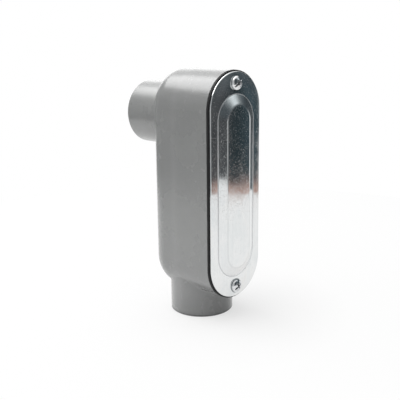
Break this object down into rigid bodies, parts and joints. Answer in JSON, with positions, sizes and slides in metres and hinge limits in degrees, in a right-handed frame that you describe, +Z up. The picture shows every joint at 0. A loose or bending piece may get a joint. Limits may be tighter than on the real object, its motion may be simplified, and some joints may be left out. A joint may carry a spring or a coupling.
{
  "type": "conduit body",
  "caption": "Right-angle conduit body with one threaded hub out of the back and one out of the bottom, closed by a gasketed sheet cover held with screws.",
  "frame": {"origin": "centre of the lower hub's mouth, which is the end that the part stands on", "axes": "+Z up along the lower hub's axis into the housing; the cover faces -Y and the rear hub points to +Y; +X is to the right seen from the front"},
  "size_m": [0.0482, 0.0807, 0.1602],
  "materials": {
    "housing_enamel": "grey baked enamel over die-cast aluminium, semi-gloss",
    "gasket_rubber": "matt black sheet rubber",
    "cover_sheet": "bright rolled sheet with fine scratches",
    "screw_steel": "bright zinc-plated steel"
  },
  "bodies": {
    "root": {"body_casting": "housing_enamel", "gasket": "gasket_rubber", "cover": "cover_sheet", "upper_cover_screw": "screw_steel", "lower_cover_screw": "screw_steel"}
  },
  "joints": []
}
